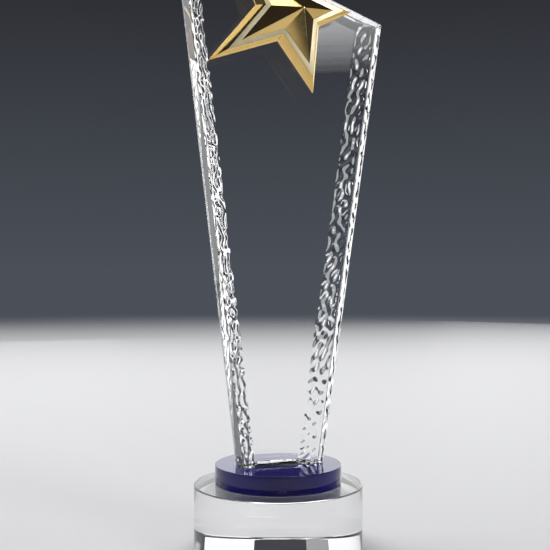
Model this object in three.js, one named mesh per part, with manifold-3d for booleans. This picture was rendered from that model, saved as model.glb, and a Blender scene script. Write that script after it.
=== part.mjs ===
// Star trophy: a clear crystal column with a gold star, bonded to a blue crystal disc and a clear base.
// Millimetres, +Z up. The origin is the centre of the base's underside, and the front faces -Y.
import * as THREE from 'three';
import { mergeVertices } from 'three/addons/utils/BufferGeometryUtils.js';
import Module from 'manifold-3d';

// ---------- driving dimensions ----------

// Clear base and blue disc
const BASE_DIAMETER = 80;
const BASE_HEIGHT = 30;
const BASE_CHAMFER = 0.8;
const DISC_DIAMETER = 60;
const DISC_HEIGHT = 9;
const DISC_CHAMFER = 0.4;
const ROUND_SEGMENTS = 96;

// Crystal column. Its sides lean outwards by this much for each millimetre of height.
const FOOT_WIDTH = 40;
const COLUMN_THICKNESS = 16;
const LEFT_LEAN = 0.121;
const RIGHT_LEAN = 0.147;
const RIGHT_HEIGHT = 211;
const TOP_SLOPE = 0.357;
const EDGE_CHAMFER = 1;

// Bevel cut down each rear edge: its run along the back and its depth along the side
const BEVEL_RUN = 8;
const BEVEL_DEPTH = 4.5;

// Adhesive films, and how far each stops short of the smaller face that it joins
const FILM_THICKNESS = 0.2;
const FILM_MARGIN = 0.5;
const STAR_PAD_THICKNESS = 0.5;
const STAR_PAD_MARGIN = 3;

// Gold star. The reach is the length of its longest arm, from the ridge point. The rim's outer edge is
// the same outline with a shorter reach, and the band is how much shorter.
const STAR_REACH = 50.4;
const STAR_BELOW_EDGE = 14.6;
const STAR_FROM_CENTRE = 6.3;
const STAR_FOOT_HEIGHT = 0.8;
const STAR_RIM_HEIGHT = 4.1;
const STAR_BAND_AT_TIP = 9.1;
const STAR_RIM_WIDTH = 2.3;
const STAR_RIDGE_HEIGHT = 9.3;

// The star's outline, arm tips and notches in turn: angle in degrees, and share of the reach
const STAR_OUTLINE = [
  [210.7, 1.0], [235, 0.346],
  [281.7, 0.756], [330.7, 0.243],
  [5.2, 0.548], [42.5, 0.252],
  [75.1, 0.546], [111.7, 0.284],
  [145, 0.698], [175.9, 0.412],
];

// ---------- places worked out from them ----------

const DISC_FLOOR = BASE_HEIGHT + FILM_THICKNESS;
const DISC_TOP = DISC_FLOOR + DISC_HEIGHT;
const COLUMN_FLOOR = DISC_TOP + FILM_THICKNESS;
const COLUMN_FRONT = -COLUMN_THICKNESS / 2;
const COLUMN_BACK = COLUMN_THICKNESS / 2;
const STAR_BACK = COLUMN_FRONT - STAR_PAD_THICKNESS;

const wasm = await Module();
wasm.setup();

// ---------- materials ----------

function crystal(colour) {
  return new THREE.MeshStandardMaterial({
    color: colour, roughness: 0.05, metalness: 0, transparent: true, opacity: 0.4,
  });
}

const clearCrystal = crystal(0xe8eef2);
const blueCrystal = crystal(0x1d1470);
const adhesive = crystal(0xf4f2ea);
const gold = new THREE.MeshStandardMaterial({ color: 0xe3b95b, roughness: 0.15, metalness: 1 });

// ---------- helpers ----------

// Merge the shared corners of a closed geometry, and drop what only a renderer needs.
function closed(geometry) {
  const copy = geometry.clone();
  copy.deleteAttribute('normal');
  copy.deleteAttribute('uv');
  return mergeVertices(copy, 1e-4);
}

function toSolid(geometry) {
  const merged = closed(geometry);
  return new wasm.Manifold(new wasm.Mesh({
    numProp: 3,
    vertProperties: new Float32Array(merged.attributes.position.array),
    triVerts: new Uint32Array(merged.index.array),
  }));
}

function fromSolid(solid) {
  const mesh = solid.getMesh();
  const geometry = new THREE.BufferGeometry();
  geometry.setAttribute('position', new THREE.BufferAttribute(mesh.vertProperties, 3));
  geometry.setIndex(new THREE.BufferAttribute(mesh.triVerts, 1));
  return geometry;
}

function named(name, geometry, material) {
  const mesh = new THREE.Mesh(geometry, material);
  mesh.name = name;
  return mesh;
}

// A round slab standing on z = 0, with the same chamfer on both rims.
function roundSlab(diameter, height, chamfer) {
  const radius = diameter / 2;
  const profile = [
    new THREE.Vector2(0, 0),
    new THREE.Vector2(radius - chamfer, 0),
    new THREE.Vector2(radius, chamfer),
    new THREE.Vector2(radius, height - chamfer),
    new THREE.Vector2(radius - chamfer, height),
    new THREE.Vector2(0, height),
  ];
  const geometry = new THREE.LatheGeometry(profile, ROUND_SEGMENTS);
  return geometry.rotateX(Math.PI / 2);
}

// Move each edge of a closed anticlockwise outline inwards by the same distance.
function inset(outline, distance) {
  return outline.map((point, i) => {
    const before = outline[(i + outline.length - 1) % outline.length];
    const after = outline[(i + 1) % outline.length];
    const edgeIn = point.clone().sub(before).normalize();
    const edgeOut = after.clone().sub(point).normalize();
    const normalIn = new THREE.Vector2(-edgeIn.y, edgeIn.x);
    const normalOut = new THREE.Vector2(-edgeOut.y, edgeOut.x);
    const mitre = normalIn.clone().add(normalOut).normalize();
    return point.clone().addScaledVector(mitre, distance / mitre.dot(normalIn));
  });
}

// ---------- crystal column ----------

// The height of the slanted top above the foot at a given x
function topHeight(x) {
  const rightTop = FOOT_WIDTH / 2 + RIGHT_LEAN * RIGHT_HEIGHT;
  return RIGHT_HEIGHT + TOP_SLOPE * (rightTop - x);
}

// The height at which the left side, which leans outwards, meets the slanted top
function leftHeight() {
  return topHeight(-FOOT_WIDTH / 2) / (1 - TOP_SLOPE * LEFT_LEAN);
}

function columnOutline() {
  const leftTop = leftHeight();
  return new THREE.Shape([
    new THREE.Vector2(-FOOT_WIDTH / 2, 0),
    new THREE.Vector2(FOOT_WIDTH / 2, 0),
    new THREE.Vector2(FOOT_WIDTH / 2 + RIGHT_LEAN * RIGHT_HEIGHT, RIGHT_HEIGHT),
    new THREE.Vector2(-FOOT_WIDTH / 2 - LEFT_LEAN * leftTop, leftTop),
  ]);
}

// The prism that is cut away to bevel one rear edge. It leans with the side, and side is -1 or 1.
function rearWedge(side, lean) {
  const slope = BEVEL_DEPTH / BEVEL_RUN;
  const beyond = BEVEL_RUN;
  const corner = [
    new THREE.Vector2(-BEVEL_RUN - beyond, slope * beyond),
    new THREE.Vector2(beyond, -BEVEL_DEPTH - slope * beyond),
    new THREE.Vector2(beyond, slope * beyond),
  ];
  const outline = corner.map((point) => new THREE.Vector2(side * point.x, point.y));
  const length = 2 * leftHeight();
  const prism = new THREE.ExtrudeGeometry(new THREE.Shape(outline), { depth: length, bevelEnabled: false });
  prism.translate(0, 0, -length / 4);
  const shear = new THREE.Matrix4().makeShear(0, 0, 0, 0, side * lean, 0);
  prism.applyMatrix4(shear);
  return prism.translate(side * FOOT_WIDTH / 2, COLUMN_BACK, 0);
}

function crystalColumn() {
  const slab = new THREE.ExtrudeGeometry(columnOutline(), {
    depth: COLUMN_THICKNESS - 2 * EDGE_CHAMFER,
    bevelSize: EDGE_CHAMFER,
    bevelThickness: EDGE_CHAMFER,
    bevelOffset: -EDGE_CHAMFER,
    bevelSegments: 1,
  });
  slab.rotateX(Math.PI / 2);
  slab.translate(0, COLUMN_BACK - EDGE_CHAMFER, 0);
  const solid = toSolid(slab)
    .subtract(toSolid(rearWedge(-1, LEFT_LEAN)))
    .subtract(toSolid(rearWedge(1, RIGHT_LEAN)));
  return named('crystal_column', fromSolid(solid), clearCrystal);
}

// ---------- gold star ----------

// The star's outline about the ridge point for a given reach, in the plane of the column's front face
function starOutline(reach) {
  return STAR_OUTLINE.map(([degrees, share]) => {
    const angle = THREE.MathUtils.degToRad(degrees);
    const radius = reach * share;
    return new THREE.Vector2(radius * Math.cos(angle), radius * Math.sin(angle));
  });
}

// A closed shell of outline rings, each at its own height, between a flat back and the ridge point.
function ringedShell(rings, peakHeight) {
  const count = rings[0].outline.length;
  const positions = [0, 0, rings[0].height];
  const faces = [];
  for (const { outline, height } of rings) {
    outline.forEach((point) => positions.push(point.x, point.y, height));
  }
  positions.push(0, 0, peakHeight);
  const peak = positions.length / 3 - 1;
  const at = (ring, i) => 1 + ring * count + (i % count);
  for (let i = 0; i < count; i += 1) {
    faces.push(0, at(0, i + 1), at(0, i));
    for (let ring = 0; ring + 1 < rings.length; ring += 1) {
      faces.push(at(ring, i), at(ring, i + 1), at(ring + 1, i + 1));
      faces.push(at(ring, i), at(ring + 1, i + 1), at(ring + 1, i));
    }
    faces.push(at(rings.length - 1, i), at(rings.length - 1, i + 1), peak);
  }
  const geometry = new THREE.BufferGeometry();
  geometry.setAttribute('position', new THREE.Float32BufferAttribute(positions, 3));
  geometry.setIndex(faces);
  return geometry;
}

function goldStar() {
  const outer = starOutline(STAR_REACH);
  const rim = starOutline(STAR_REACH - STAR_BAND_AT_TIP);
  const shell = ringedShell([
    { outline: outer, height: 0 },
    { outline: outer, height: STAR_FOOT_HEIGHT },
    { outline: rim, height: STAR_RIM_HEIGHT },
    { outline: inset(rim, STAR_RIM_WIDTH), height: STAR_RIM_HEIGHT },
  ], STAR_RIDGE_HEIGHT);
  return named('gold_star', shell, gold);
}

// The pad under the star, kept to the part of the star that lies on the column's front face
function starAdhesive() {
  const outline = inset(starOutline(STAR_REACH), STAR_PAD_MARGIN);
  const pad = new THREE.ExtrudeGeometry(new THREE.Shape(outline), {
    depth: STAR_PAD_THICKNESS, bevelEnabled: false,
  });
  const aboveEdge = new THREE.Shape([
    new THREE.Vector2(-2 * STAR_REACH, padEdge(-2 * STAR_REACH)),
    new THREE.Vector2(2 * STAR_REACH, padEdge(2 * STAR_REACH)),
    new THREE.Vector2(2 * STAR_REACH, 3 * STAR_REACH),
    new THREE.Vector2(-2 * STAR_REACH, 3 * STAR_REACH),
  ]);
  const cutter = new THREE.ExtrudeGeometry(aboveEdge, { depth: 4 * STAR_PAD_THICKNESS, bevelEnabled: false });
  cutter.translate(0, 0, -STAR_PAD_THICKNESS);
  return named('star_adhesive', fromSolid(toSolid(pad).subtract(toSolid(cutter))), adhesive);
}

// The upper limit of the pad at x from the ridge point: clear of the column's slanted top edge
function padEdge(x) {
  const drop = STAR_BELOW_EDGE - EDGE_CHAMFER - STAR_PAD_MARGIN;
  return drop - TOP_SLOPE * x;
}

// ---------- adhesive films between the tiers ----------

// The column's section at its foot, anticlockwise from the front left corner
function footOutline() {
  const half = FOOT_WIDTH / 2;
  return [
    new THREE.Vector2(-half, COLUMN_FRONT),
    new THREE.Vector2(half, COLUMN_FRONT),
    new THREE.Vector2(half, COLUMN_BACK - BEVEL_DEPTH),
    new THREE.Vector2(half - BEVEL_RUN, COLUMN_BACK),
    new THREE.Vector2(-half + BEVEL_RUN, COLUMN_BACK),
    new THREE.Vector2(-half, COLUMN_BACK - BEVEL_DEPTH),
  ];
}

function columnAdhesive() {
  const outline = inset(footOutline(), EDGE_CHAMFER + FILM_MARGIN);
  const film = new THREE.ExtrudeGeometry(new THREE.Shape(outline), {
    depth: FILM_THICKNESS, bevelEnabled: false,
  });
  film.translate(0, 0, DISC_TOP);
  return named('column_adhesive', film, adhesive);
}

function discAdhesive() {
  const radius = DISC_DIAMETER / 2 - DISC_CHAMFER - FILM_MARGIN;
  const film = new THREE.CylinderGeometry(radius, radius, FILM_THICKNESS, ROUND_SEGMENTS);
  film.rotateX(Math.PI / 2);
  film.translate(0, 0, BASE_HEIGHT + FILM_THICKNESS / 2);
  return named('disc_adhesive', film, adhesive);
}

// ---------- assembly ----------

const trophy = new THREE.Group();

trophy.add(named('clear_base', roundSlab(BASE_DIAMETER, BASE_HEIGHT, BASE_CHAMFER), clearCrystal));

const disc = named('blue_disc', roundSlab(DISC_DIAMETER, DISC_HEIGHT, DISC_CHAMFER), blueCrystal);
disc.position.z = DISC_FLOOR;
trophy.add(disc);

const column = crystalColumn();
column.position.z = COLUMN_FLOOR;
trophy.add(column);

// The star is drawn lying on z = 0, then stood up against the front face.
const starGroup = new THREE.Group();
starGroup.position.set(
  STAR_FROM_CENTRE,
  0,
  COLUMN_FLOOR + topHeight(STAR_FROM_CENTRE) - STAR_BELOW_EDGE,
);
starGroup.rotation.x = Math.PI / 2;
trophy.add(starGroup);

const star = goldStar();
star.position.z = -STAR_BACK;
starGroup.add(star);

const pad = starAdhesive();
pad.position.z = -COLUMN_FRONT;
starGroup.add(pad);

trophy.add(columnAdhesive());
trophy.add(discAdhesive());

export default trophy;
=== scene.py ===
"""Star trophy: the looks of a clear crystal award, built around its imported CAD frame. Metres, +Z up."""
import math

import bmesh
import bpy
import numpy as np
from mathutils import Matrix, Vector


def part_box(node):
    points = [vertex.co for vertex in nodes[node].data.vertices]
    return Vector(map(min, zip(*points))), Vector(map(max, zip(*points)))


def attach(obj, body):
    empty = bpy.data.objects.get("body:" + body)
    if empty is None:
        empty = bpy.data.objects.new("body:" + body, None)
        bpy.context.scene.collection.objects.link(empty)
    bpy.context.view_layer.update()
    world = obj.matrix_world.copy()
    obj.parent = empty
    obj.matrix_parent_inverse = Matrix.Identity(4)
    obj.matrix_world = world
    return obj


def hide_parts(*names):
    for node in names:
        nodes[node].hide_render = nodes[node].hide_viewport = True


MM = 0.001

# ---------- sizes of the visual detail ----------

# Crystal column: edge chamfers, and the rear bevels with their carved hollows
EDGE_CHAMFER = 1.0 * MM
BEVEL_RUN = 8.0 * MM
BEVEL_DEPTH = 4.5 * MM
CARVE_REACH = 2.2 * MM
CARVE_DEPTH = 0.8 * MM
CARVE_STEP = 0.26 * MM
CARVE_ROW = 0.36 * MM
CARVE_PITCH = 3.2 * MM
CARVE_LAND = 0.4 * MM
CARVE_FADE = 1.2 * MM

# The carved pattern, drawn from seeded noise on a square grid. It is stretched upwards, and each side
# starts from its own place in it.
PATTERN_CELLS = 1024
PATTERN_CELL = 0.25 * MM
PATTERN_BANDWIDTH = 0.24
PATTERN_STRETCH = 1.7
PATTERN_CONTRAST = 1.1
PATTERN_SEED = 7
PATTERN_LEFT_START = 0.11
PATTERN_RIGHT_START = 0.05

# Round tiers
ROUND_SEGMENTS = 256
BASE_EDGE = 0.8 * MM
DISC_EDGE = 0.4 * MM
EDGE_ARC_STEPS = 4

# Gold star: its rounded edges, the angles in degrees between which faces count as flat or smooth, and the
# distance within which its corners are one
STAR_EDGE_RADIUS = 0.18 * MM
STAR_EDGE_STEPS = 3
STAR_FLAT_ANGLE = 1.0
STAR_SMOOTH_ANGLE = 32.0
STAR_WELD = 0.001 * MM

# How near a corner of a CAD solid is to a limit of its box to count as on it
TOUCH = 0.01 * MM

# A face of a round tier is flat when its normal is at least this upright
UPRIGHT = 0.999

# How far a cured film wets into the glass on each side, so that light crosses the bond with no air gap
BOND_WETTING = 0.02 * MM

# ---------- looks ----------

# Crystal: refractive index, and the faint wiping marks. A noise scale is in cells per metre, and a noise
# range is the part of the noise over which a value changes.
CLEAR_IOR = 1.517
BLUE_IOR = 1.52
WIPE_SCALE = 60.0
WIPE_STRETCH = (1.0, 1.0, 0.35)
WIPE_ROUGHNESS = (0.0, 0.02)
WIPE_RANGE = (0.55, 0.8)

# Blue crystal: the colour and share of its cloudiness, and the colour and density that deepen with thickness
BLUE_BODY = (0.10, 0.06, 0.95)
BLUE_CLOUDINESS = 0.14
BLUE_DEPTH_COLOUR = (0.24, 0.06, 0.65)
BLUE_DENSITY = 170.0

# Gold plate: mirror-polished facets of two near colours, and a satin rim whose paler colour is a painted
# sheen. The rim is where the normal's Y lies in the flat front range.
GOLD_DEEP = (0.92, 0.60, 0.19)
GOLD_BRIGHT = (1.0, 0.71, 0.27)
GOLD_HAZE_SCALE = 90.0
GOLD_HAZE_RANGE = (0.3, 0.7)
GOLD_FINE_SCALE = 420.0
GOLD_FINE_RANGE = (0.3, 0.75)
POLISHED_ROUGHNESS = (0.05, 0.14)
RIM_GOLD_PAINTED_SHEEN = (1.0, 0.86, 0.56)
SATIN_ROUGHNESS = (0.28, 0.40)
FLAT_FRONT_RANGE = (-0.995, -0.97)
RIPPLE_STRENGTH = 0.06
RIPPLE_DEPTH = 0.4 * MM

# Cured adhesive: clear, with a few faint clouds
GLUE_COLOUR = (0.97, 0.97, 0.95)
GLUE_IOR = 1.48
GLUE_CLOUD_SCALE = 140.0
GLUE_CLOUD_RANGE = (0.4, 0.8)
GLUE_ROUGHNESS = (0.0, 0.12)

# ---------- stage ----------

# Camera: where it stands from the trophy's axis, and where it aims
CAMERA_AZIMUTH = -20.5
CAMERA_DISTANCE = 439.6 * MM
CAMERA_HEIGHT = 130.6 * MM
CAMERA_LENS = 60.5
SENSOR_WIDTH = 36.0
AIM_LEFT = 1.5 * MM
AIM_HEIGHT = 128.7 * MM

# Floor: plain and pale all round the trophy, and fading into the backdrop far from it, which is a painted
# pool of light
FLOOR_SIZE = 8.0
FLOOR_GAP = 0.2 * MM
FLOOR_LIGHT_POOL_RADIUS = 0.7
FLOOR_LIGHT_POOL_EDGE = 2.6
FLOOR_COLOUR = (0.80, 0.80, 0.81)
FLOOR_ROUGHNESS = 0.6
FLOOR_SPECULAR = 0.2

# Key softbox: how many layers it has, how much smaller the last one is, and how far apart they stand.
# The gap matters: of layers at one distance, a reflection shows only the first.
SOFT_LAYERS = 20
SOFT_EDGE = 0.85
SOFT_GAP = 2.0 * MM

# What the lights face: a point part way up the column
LIGHT_AIM_HEIGHT = 0.12

# Backdrop: its colour at the horizon, and its darker colour from this height of view upwards
SLATE_LOW = (0.070, 0.080, 0.098)
SLATE_HIGH = (0.025, 0.026, 0.032)
SLATE_HIGH_AT = 0.3


# ---------- frame ----------

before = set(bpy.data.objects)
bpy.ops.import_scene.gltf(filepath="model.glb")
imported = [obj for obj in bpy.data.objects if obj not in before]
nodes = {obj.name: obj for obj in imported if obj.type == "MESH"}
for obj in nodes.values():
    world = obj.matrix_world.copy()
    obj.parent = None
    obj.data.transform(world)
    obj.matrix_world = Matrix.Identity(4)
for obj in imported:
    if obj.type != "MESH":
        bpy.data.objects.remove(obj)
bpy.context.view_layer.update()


# ---------- helpers ----------

def new_object(name, mesh):
    obj = bpy.data.objects.new(name, mesh)
    bpy.context.scene.collection.objects.link(obj)
    return obj


def mesh_from(name, vertices, faces):
    mesh = bpy.data.meshes.new(name)
    mesh.from_pydata([tuple(v) for v in vertices], [], faces)
    mesh.update()
    fixer = bmesh.new()
    fixer.from_mesh(mesh)
    bmesh.ops.recalc_face_normals(fixer, faces=fixer.faces)
    fixer.to_mesh(mesh)
    fixer.free()
    return mesh


def direction(azimuth, elevation):
    """Unit vector from the trophy: azimuth 0 is the front, and positive turns to the right."""
    a = math.radians(azimuth)
    e = math.radians(elevation)
    return Vector((math.sin(a) * math.cos(e), -math.cos(a) * math.cos(e), math.sin(e)))


def aim(obj, target):
    obj.rotation_euler = (target - obj.location).to_track_quat("-Z", "Y").to_euler()


def mix(a, b, t):
    return a + (b - a) * t


# ---------- materials ----------

def new_material(name):
    material = bpy.data.materials.new(name)
    material.use_nodes = True
    tree = material.node_tree
    shader = tree.nodes["Principled BSDF"]
    return material, tree, shader


def object_noise(tree, scale, detail=3.0, roughness=0.5, stretch=(1.0, 1.0, 1.0)):
    """A noise texture in object coordinates, stretched along its axes."""
    coords = tree.nodes.new("ShaderNodeTexCoord")
    mapping = tree.nodes.new("ShaderNodeMapping")
    mapping.inputs["Scale"].default_value = stretch
    texture = tree.nodes.new("ShaderNodeTexNoise")
    texture.inputs["Scale"].default_value = scale
    texture.inputs["Detail"].default_value = detail
    texture.inputs["Roughness"].default_value = roughness
    tree.links.new(coords.outputs["Object"], mapping.inputs["Vector"])
    tree.links.new(mapping.outputs["Vector"], texture.inputs["Vector"])
    return texture


def ramp(tree, source, low, high, start=0.0, end=1.0):
    """Map a source from the range start to end to the range low to high."""
    node = tree.nodes.new("ShaderNodeMapRange")
    node.inputs["From Min"].default_value = start
    node.inputs["From Max"].default_value = end
    node.inputs["To Min"].default_value = low
    node.inputs["To Max"].default_value = high
    tree.links.new(source, node.inputs["Value"])
    return node.outputs["Result"]


def add_bump(tree, shader, height, strength, distance):
    bump = tree.nodes.new("ShaderNodeBump")
    bump.inputs["Strength"].default_value = strength
    bump.inputs["Distance"].default_value = distance
    tree.links.new(height, bump.inputs["Height"])
    tree.links.new(bump.outputs["Normal"], shader.inputs["Normal"])


def crystal_material(name, ior):
    """Polished optical crystal with faint wiping marks."""
    material, tree, shader = new_material(name)
    shader.inputs["Base Color"].default_value = (1.0, 1.0, 1.0, 1.0)
    shader.inputs["Transmission Weight"].default_value = 1.0
    shader.inputs["IOR"].default_value = ior
    wipe = object_noise(tree, WIPE_SCALE, detail=4.0, stretch=WIPE_STRETCH)
    roughness = ramp(tree, wipe.outputs["Fac"], *WIPE_ROUGHNESS, *WIPE_RANGE)
    tree.links.new(roughness, shader.inputs["Roughness"])
    return material


def coloured_in_the_melt(material, body, cloudiness, colour, density):
    """Colour a crystal through its depth, and cloud it a little, as glass coloured in the melt is."""
    tree = material.node_tree
    shader = tree.nodes["Principled BSDF"]
    shader.inputs["Base Color"].default_value = (*body, 1.0)
    shader.inputs["Transmission Weight"].default_value = 1.0 - cloudiness
    absorb = tree.nodes.new("ShaderNodeVolumeAbsorption")
    absorb.inputs["Color"].default_value = (*colour, 1.0)
    absorb.inputs["Density"].default_value = density
    tree.links.new(absorb.outputs["Volume"], tree.nodes["Material Output"].inputs["Volume"])
    return material


def gold_material():
    """Gold plate: facets and walls mirror-polished, with a faint ripple, and the flat front rim satin, with a
    painted sheen in its paler colour.
    """
    material, tree, shader = new_material("gold_plate")
    shader.inputs["Metallic"].default_value = 1.0
    haze = object_noise(tree, GOLD_HAZE_SCALE, detail=5.0)
    colours = tree.nodes.new("ShaderNodeValToRGB")
    colours.color_ramp.elements[0].position = GOLD_HAZE_RANGE[0]
    colours.color_ramp.elements[0].color = (*GOLD_DEEP, 1.0)
    colours.color_ramp.elements[1].position = GOLD_HAZE_RANGE[1]
    colours.color_ramp.elements[1].color = (*GOLD_BRIGHT, 1.0)
    tree.links.new(haze.outputs["Fac"], colours.inputs["Fac"])
    coords = tree.nodes.new("ShaderNodeTexCoord")
    split = tree.nodes.new("ShaderNodeSeparateXYZ")
    tree.links.new(coords.outputs["Normal"], split.inputs["Vector"])
    flat_front = ramp(tree, split.outputs["Y"], 1.0, 0.0, *FLAT_FRONT_RANGE)
    # The rim's paler colour is a painted sheen of the key's reflection. Its satin roughness below is its real
    # finish.
    painted_sheen_rim = tree.nodes.new("ShaderNodeMix")
    painted_sheen_rim.data_type = "RGBA"
    painted_sheen_rim.inputs["B"].default_value = (*RIM_GOLD_PAINTED_SHEEN, 1.0)
    tree.links.new(flat_front, painted_sheen_rim.inputs["Factor"])
    tree.links.new(colours.outputs["Color"], painted_sheen_rim.inputs["A"])
    tree.links.new(painted_sheen_rim.outputs["Result"], shader.inputs["Base Color"])
    fine = object_noise(tree, GOLD_FINE_SCALE, detail=3.0)
    polished = ramp(tree, fine.outputs["Fac"], *POLISHED_ROUGHNESS, *GOLD_FINE_RANGE)
    satin = ramp(tree, fine.outputs["Fac"], *SATIN_ROUGHNESS, *GOLD_FINE_RANGE)
    finish = tree.nodes.new("ShaderNodeMix")
    tree.links.new(flat_front, finish.inputs["Factor"])
    tree.links.new(polished, finish.inputs["A"])
    tree.links.new(satin, finish.inputs["B"])
    tree.links.new(finish.outputs["Result"], shader.inputs["Roughness"])
    add_bump(tree, shader, haze.outputs["Fac"], RIPPLE_STRENGTH, RIPPLE_DEPTH)
    return material


def adhesive_material():
    """Clear cured adhesive with a few faint clouds."""
    material, tree, shader = new_material("adhesive")
    shader.inputs["Base Color"].default_value = (*GLUE_COLOUR, 1.0)
    shader.inputs["Transmission Weight"].default_value = 1.0
    shader.inputs["IOR"].default_value = GLUE_IOR
    cloud = object_noise(tree, GLUE_CLOUD_SCALE, detail=2.0)
    roughness = ramp(tree, cloud.outputs["Fac"], *GLUE_ROUGHNESS, *GLUE_CLOUD_RANGE)
    tree.links.new(roughness, shader.inputs["Roughness"])
    return material


def floor_material():
    """A pale tabletop with a painted pool of light: it fades out into the slate backdrop with distance."""
    material, tree, shader = new_material("floor")
    shader.inputs["Base Color"].default_value = (*FLOOR_COLOUR, 1.0)
    shader.inputs["Roughness"].default_value = FLOOR_ROUGHNESS
    shader.inputs["Specular IOR Level"].default_value = FLOOR_SPECULAR
    coords = tree.nodes.new("ShaderNodeTexCoord")
    length = tree.nodes.new("ShaderNodeVectorMath")
    length.operation = "LENGTH"
    tree.links.new(coords.outputs["Object"], length.inputs[0])
    # Painted pool of light: the floor is pale near the trophy and fades into the backdrop further out.
    painted_light_pool = ramp(tree, length.outputs["Value"], 1.0, 0.0, FLOOR_LIGHT_POOL_RADIUS, FLOOR_LIGHT_POOL_EDGE)
    painted_light_pool.node.interpolation_type = "SMOOTHERSTEP"
    tree.links.new(painted_light_pool, shader.inputs["Alpha"])
    return material


# ---------- crystal column ----------

def column_edges():
    """The column's limits, from its CAD solid. The left and right corners of its top are held as (x, z)."""
    low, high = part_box("crystal_column")
    points = [v.co.copy() for v in nodes["crystal_column"].data.vertices]
    top_left = min((p for p in points if p.x < low.x + TOUCH), key=lambda p: -p.z)
    top_right = max((p for p in points if p.x > high.x - TOUCH), key=lambda p: p.z)
    left = Vector((low.x, top_left.z))
    right = Vector((high.x, top_right.z))
    return {
        "foot_z": low.z,
        "foot_half": max(p.x for p in points if p.z < low.z + TOUCH),
        "front": low.y,
        "back": high.y,
        "left": left,
        "right": right,
        "top_slope": (right.y - left.y) / (right.x - left.x),
    }


def carved_pattern():
    """Winding channels of even width, as in carved ice: seeded noise kept to one band of widths, -1 to 1."""
    rng = np.random.default_rng(PATTERN_SEED)
    noise = np.fft.fft2(rng.standard_normal((PATTERN_CELLS, PATTERN_CELLS)))
    wave = np.fft.fftfreq(PATTERN_CELLS, PATTERN_CELL)
    across = wave[:, None] * CARVE_PITCH
    up = wave[None, :] * CARVE_PITCH * PATTERN_STRETCH
    band = np.exp(-((np.hypot(across, up) - 1.0) / PATTERN_BANDWIDTH) ** 2)
    field = np.real(np.fft.ifft2(noise * band))
    return np.tanh(PATTERN_CONTRAST * field / field.std())


PATTERN = carved_pattern()


def pattern_at(across, up):
    """The carved pattern at a point, blended between its four nearest cells."""
    x = across / PATTERN_CELL
    z = up / PATTERN_CELL
    i = math.floor(x)
    j = math.floor(z)
    fx = x - i
    fz = z - j
    cell = [[PATTERN[(i + a) % PATTERN_CELLS][(j + b) % PATTERN_CELLS] for b in (0, 1)] for a in (0, 1)]
    low = mix(cell[0][0], cell[0][1], fz)
    high = mix(cell[1][0], cell[1][1], fz)
    return mix(low, high, fx)


def hollow_depth(across, up, side):
    """Depth of the carving: round hollows between sharp crests, fading out to a land at the outer edge."""
    start = PATTERN_RIGHT_START if side > 0 else PATTERN_LEFT_START
    value = pattern_at(across + start, up)
    groove = math.sqrt(max(0.0, 0.5 - 0.5 * value))
    edge = min(1.0, max(0.0, across - CARVE_LAND) / CARVE_FADE)
    return CARVE_DEPTH * groove * edge


def column_section(edges):
    """Outline of the section, anticlockwise from above: (side, distance in from it, y, is carved)."""
    front = edges["front"]
    back = edges["back"]
    carve = CARVE_REACH + BEVEL_RUN
    steps = round(carve / CARVE_STEP)
    rows = []
    rows.append((-1, EDGE_CHAMFER, front, False))
    rows.append((1, EDGE_CHAMFER, front, False))
    rows.append((1, 0.0, front + EDGE_CHAMFER, False))
    for i in range(steps + 1):
        rows.append((1, carve * i / steps, back, True))
    for i in range(steps + 1):
        rows.append((-1, carve * (1.0 - i / steps), back, True))
    rows.append((-1, 0.0, front + EDGE_CHAMFER, False))
    return rows


def column_levels(height):
    """Shares of the height at which the section is drawn, with a chamfer's height at each end."""
    first = EDGE_CHAMFER / height
    count = round(height / CARVE_ROW)
    between = [mix(first, 1.0 - first, i / count) for i in range(1, count + 1)]
    return [0.0, first, *between, 1.0]


def column_point(edges, corner, level, at_end):
    """Where a corner of the section lies at one level of the loft, from 0 at the foot to 1 at the top."""
    side, inward, y, carved = corner
    top = edges["left"] if side < 0 else edges["right"]
    start_x = side * edges["foot_half"] - side * inward
    end_x = top.x - side * inward
    end_z = top.y - side * inward * edges["top_slope"]
    x = mix(start_x, end_x, level)
    z = mix(edges["foot_z"], end_z, level)
    if carved:
        y = edges["back"] - BEVEL_DEPTH + BEVEL_DEPTH * inward / BEVEL_RUN
        if inward > 0.0:
            y -= hollow_depth(inward, z, side)
        y = min(y, edges["back"] - (EDGE_CHAMFER if at_end else 0.0))
    elif at_end:
        y = max(y, edges["front"] + EDGE_CHAMFER)
    return (x, y, z)


def crystal_column(material):
    """A loft from the foot to the slanted top, with carved hollows down both rear bevels."""
    edges = column_edges()
    height = max(edges["left"].y, edges["right"].y) - edges["foot_z"]
    levels = column_levels(height)
    section = column_section(edges)
    vertices = []
    for index, level in enumerate(levels):
        at_end = index in (0, len(levels) - 1)
        vertices += [column_point(edges, corner, level, at_end) for corner in section]
    ring = len(section)
    faces = []
    for row in range(len(levels) - 1):
        for i in range(ring):
            j = (i + 1) % ring
            faces.append((row * ring + i, row * ring + j, (row + 1) * ring + j, (row + 1) * ring + i))
    faces.append(tuple(range(ring)))
    faces.append(tuple(range((len(levels) - 1) * ring, len(levels) * ring)))
    mesh = mesh_from("crystal_column_carved", vertices, faces)
    for number, polygon in enumerate(mesh.polygons):
        here = section[number % ring]
        following = section[(number + 1) % ring]
        along_side = number < (len(levels) - 1) * ring
        same_strip = here[3] and following[3] and here[0] == following[0]
        polygon.use_smooth = along_side and same_strip
    obj = new_object("crystal_column_carved", mesh)
    mesh.materials.append(material)
    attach(obj, "root")
    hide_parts("crystal_column")
    return obj


# ---------- round tiers ----------

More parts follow.
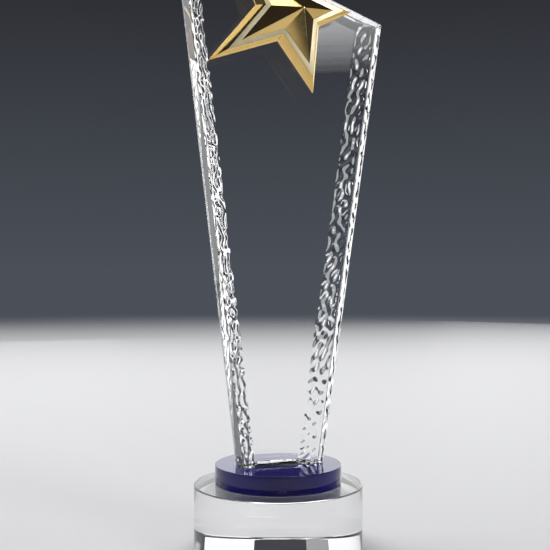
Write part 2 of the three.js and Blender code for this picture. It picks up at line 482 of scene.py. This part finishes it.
def round_profile(radius, bottom, top, edge):
    """Half section of a disc with rounded rims, from the axis at the bottom to the axis at the top."""
    profile = [(0.0, bottom)]
    for i in range(EDGE_ARC_STEPS + 1):
        angle = math.radians(-90.0 + 90.0 * i / EDGE_ARC_STEPS)
        profile.append((radius - edge + edge * math.cos(angle), bottom + edge + edge * math.sin(angle)))
    for i in range(EDGE_ARC_STEPS + 1):
        angle = math.radians(90.0 * i / EDGE_ARC_STEPS)
        profile.append((radius - edge + edge * math.cos(angle), top - edge + edge * math.sin(angle)))
    profile.append((0.0, top))
    return profile


def lathe(name, profile):
    """Turn a half section round the Z axis into a closed mesh."""
    rings = profile[1:-1]
    vertices = [(0.0, 0.0, profile[0][1])]
    for radius, z in rings:
        for i in range(ROUND_SEGMENTS):
            angle = 2.0 * math.pi * i / ROUND_SEGMENTS
            vertices.append((radius * math.cos(angle), radius * math.sin(angle), z))
    vertices.append((0.0, 0.0, profile[-1][1]))
    last = len(vertices) - 1
    faces = []
    for i in range(ROUND_SEGMENTS):
        j = (i + 1) % ROUND_SEGMENTS
        faces.append((0, 1 + j, 1 + i))
        for r in range(len(rings) - 1):
            a = 1 + r * ROUND_SEGMENTS
            b = a + ROUND_SEGMENTS
            faces.append((a + i, a + j, b + j, b + i))
        top = 1 + (len(rings) - 1) * ROUND_SEGMENTS
        faces.append((top + i, top + j, last))
    return mesh_from(name, vertices, faces)


def round_tier(name, node, edge, material):
    low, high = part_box(node)
    mesh = lathe(name, round_profile(high.x, low.z, high.z, edge))
    for polygon in mesh.polygons:
        polygon.use_smooth = abs(polygon.normal.z) < UPRIGHT
    mesh.materials.append(material)
    obj = new_object(name, mesh)
    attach(obj, "root")
    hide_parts(node)
    return obj


# ---------- gold star ----------

def gold_star(material):
    """The CAD casting with every edge rounded over, as casting and buffing leave it."""
    source = nodes["gold_star"].data.copy()
    source.name = "gold_star_cast"
    source.materials.clear()
    cleaner = bmesh.new()
    cleaner.from_mesh(source)
    bmesh.ops.remove_doubles(cleaner, verts=cleaner.verts, dist=STAR_WELD)
    bmesh.ops.dissolve_limit(
        cleaner, angle_limit=math.radians(STAR_FLAT_ANGLE), verts=cleaner.verts, edges=cleaner.edges,
    )
    bmesh.ops.bevel(
        cleaner,
        geom=cleaner.edges[:],
        offset=STAR_EDGE_RADIUS,
        segments=STAR_EDGE_STEPS,
        profile=0.5,
        affect="EDGES",
        clamp_overlap=True,
    )
    bmesh.ops.recalc_face_normals(cleaner, faces=cleaner.faces)
    cleaner.to_mesh(source)
    cleaner.free()
    for polygon in source.polygons:
        polygon.use_smooth = True
    source.set_sharp_from_angle(angle=math.radians(STAR_SMOOTH_ANGLE))
    source.materials.append(material)
    obj = new_object("gold_star_cast", source)
    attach(obj, "root")
    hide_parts("gold_star")
    return obj


# ---------- adhesive ----------

def adhesive_film(name, node, axis, material):
    """The CAD film, wetting into the surfaces that it bonds along the given axis."""
    low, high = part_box(node)
    middle = (low[axis] + high[axis]) / 2.0
    share = 1.0 + 2.0 * BOND_WETTING / (high[axis] - low[axis])
    mesh = nodes[node].data.copy()
    mesh.name = name
    for vertex in mesh.vertices:
        vertex.co[axis] = middle + (vertex.co[axis] - middle) * share
    mesh.materials.clear()
    mesh.materials.append(material)
    obj = new_object(name, mesh)
    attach(obj, "root")
    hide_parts(node)
    return obj


# ---------- stage, lights and camera ----------

def stage_floor():
    half = FLOOR_SIZE / 2.0
    corners = [(-half, -half), (half, -half), (half, half), (-half, half)]
    mesh = mesh_from("floor", [(x, y, 0.0) for x, y in corners], [(0, 1, 2, 3)])
    mesh.materials.append(floor_material())
    obj = new_object("floor", mesh)
    obj.location.z = -FLOOR_GAP


def slate_world():
    """A dark slate backdrop, lighter towards the horizon."""
    world = bpy.data.worlds.new("slate")
    bpy.context.scene.world = world
    world.use_nodes = True
    tree = world.node_tree
    coords = tree.nodes.new("ShaderNodeTexCoord")
    split = tree.nodes.new("ShaderNodeSeparateXYZ")
    colours = tree.nodes.new("ShaderNodeValToRGB")
    colours.color_ramp.elements[0].position = 0.0
    colours.color_ramp.elements[0].color = (*SLATE_LOW, 1.0)
    colours.color_ramp.elements[1].position = SLATE_HIGH_AT
    colours.color_ramp.elements[1].color = (*SLATE_HIGH, 1.0)
    tree.links.new(coords.outputs["Generated"], split.inputs["Vector"])
    tree.links.new(split.outputs["Z"], colours.inputs["Fac"])
    tree.links.new(colours.outputs["Color"], tree.nodes["Background"].inputs["Color"])


def soft_light(name, azimuth, elevation, distance, width, height, radiance, target):
    """A rectangular softbox that faces the target. Radiance is the brightness of its face."""
    data = bpy.data.lights.new(name, "AREA")
    data.shape = "RECTANGLE"
    data.size = width
    data.size_y = height
    data.energy = radiance * math.pi * width * height
    obj = bpy.data.objects.new(name, data)
    bpy.context.scene.collection.objects.link(obj)
    obj.location = target + direction(azimuth, elevation) * distance
    aim(obj, target)
    obj.visible_camera = False
    return obj


def soft_edged_light(name, azimuth, elevation, distance, width, height, radiance, target):
    """A softbox whose face dims towards its edges: equal layers, each smaller than the last."""
    for layer in range(SOFT_LAYERS):
        share = 1.0 - SOFT_EDGE * layer / (SOFT_LAYERS - 1)
        soft_light(
            f"{name}_{layer}", azimuth, elevation, distance - layer * SOFT_GAP, width * share, height * share,
            radiance / SOFT_LAYERS, target,
        )


def studio_lights():
    """Angles are in degrees from the target, and sizes and distances are in metres."""
    star_low, star_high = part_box("gold_star")
    star = (star_low + star_high) / 2.0
    middle = Vector((0.0, 0.0, LIGHT_AIM_HEIGHT))
    # The key gives the fading reflection on the glass beside the star.
    soft_edged_light(
        "key_softbox", azimuth=31.0, elevation=24.0, distance=1.1, width=0.36, height=0.50,
        radiance=11.0, target=star,
    )
    # From above and behind, for the tops and the floor
    soft_light(
        "top_softbox", azimuth=180.0, elevation=66.0, distance=1.2, width=1.1, height=0.9,
        radiance=3.6, target=middle,
    )
    # For the upper wall of the star's longest arm
    soft_light(
        "star_wall_card", azimuth=-91.0, elevation=62.0, distance=1.2, width=0.5, height=0.5,
        radiance=0.8, target=star,
    )
    # Two tall cards behind, for the carved strips and the column's side walls
    soft_light(
        "back_left_card", azimuth=-152.0, elevation=17.5, distance=1.8, width=1.5, height=1.46,
        radiance=1.1, target=middle,
    )
    soft_light(
        "back_right_card", azimuth=130.0, elevation=19.0, distance=1.8, width=1.2, height=1.46,
        radiance=1.3, target=middle,
    )
    # Straight behind, dim, to lift the right strip
    soft_light(
        "bevel_card", azimuth=180.0, elevation=15.0, distance=1.3, width=0.37, height=0.9,
        radiance=0.34, target=middle,
    )
    # In front, for the star's facets
    soft_light(
        "front_card", azimuth=-13.0, elevation=7.0, distance=1.2, width=0.3, height=0.2,
        radiance=2.5, target=star,
    )
    # For the glancing reflections on the disc's top and the base's ring. It isn't seen through the glass.
    sheen = soft_light(
        "back_sheen_card", azimuth=160.0, elevation=13.0, distance=2.4, width=2.2, height=0.95,
        radiance=1.3, target=middle,
    )
    sheen.visible_transmission = False


def add_camera():
    data = bpy.data.cameras.new("camera")
    data.lens = CAMERA_LENS
    data.sensor_width = SENSOR_WIDTH
    obj = bpy.data.objects.new("camera", data)
    bpy.context.scene.collection.objects.link(obj)
    towards = direction(CAMERA_AZIMUTH, 0.0)
    sideways = Vector((towards.y, -towards.x, 0.0))
    obj.location = towards * CAMERA_DISTANCE + Vector((0.0, 0.0, CAMERA_HEIGHT))
    aim(obj, sideways * AIM_LEFT + Vector((0.0, 0.0, AIM_HEIGHT)))
    bpy.context.scene.camera = obj


# ---------- assembly ----------

clear = crystal_material("clear_crystal", CLEAR_IOR)
blue = crystal_material("blue_crystal", BLUE_IOR)
coloured_in_the_melt(blue, BLUE_BODY, BLUE_CLOUDINESS, BLUE_DEPTH_COLOUR, BLUE_DENSITY)
glue = adhesive_material()

crystal_column(clear)
round_tier("clear_base_polished", "clear_base", BASE_EDGE, clear)
round_tier("blue_disc_polished", "blue_disc", DISC_EDGE, blue)
gold_star(gold_material())
adhesive_film("star_adhesive_pad", "star_adhesive", 1, glue)
adhesive_film("column_adhesive_film", "column_adhesive", 2, glue)
adhesive_film("disc_adhesive_film", "disc_adhesive", 2, glue)

stage_floor()
slate_world()
studio_lights()
add_camera()
bpy.context.scene.view_settings.view_transform = "Standard"
